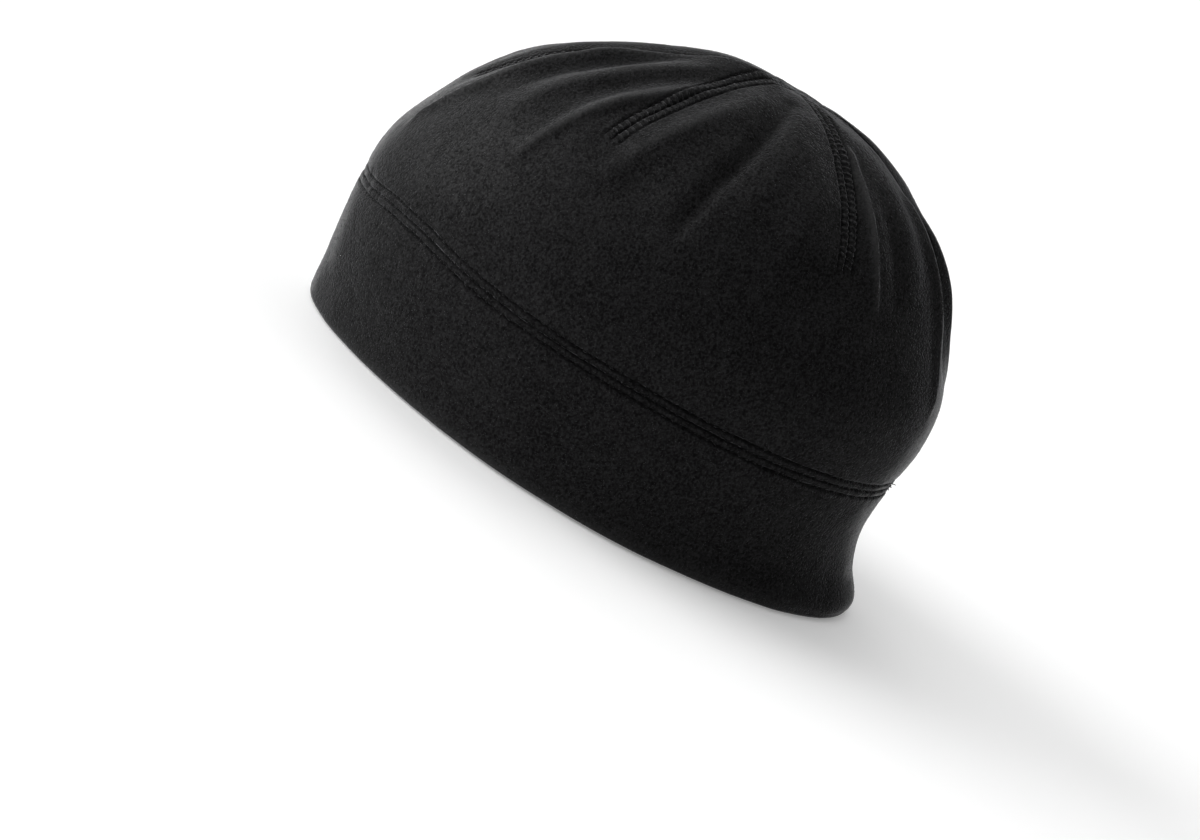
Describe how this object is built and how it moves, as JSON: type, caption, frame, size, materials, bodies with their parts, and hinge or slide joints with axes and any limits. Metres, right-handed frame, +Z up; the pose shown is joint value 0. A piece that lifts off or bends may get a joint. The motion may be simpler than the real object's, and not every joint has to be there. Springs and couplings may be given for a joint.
{
  "type": "fleece beanie cap",
  "caption": "Close-fitting black fleece beanie with a folded band and a crown drawn in by sewn darts.",
  "frame": {"origin": "middle of the hem's box on the surface that the hem rests on", "axes": "+Z up through the crown, the forehead towards -Y, the nape towards +Y and the wearer's left towards +X"},
  "size_m": [0.1622, 0.2064, 0.1364],
  "materials": {
    "crown_fleece": "matte brushed fleece",
    "band_fleece": "matte brushed fleece"
  },
  "bodies": {
    "root": {"crown": "crown_fleece", "band": "band_fleece"}
  },
  "joints": []
}
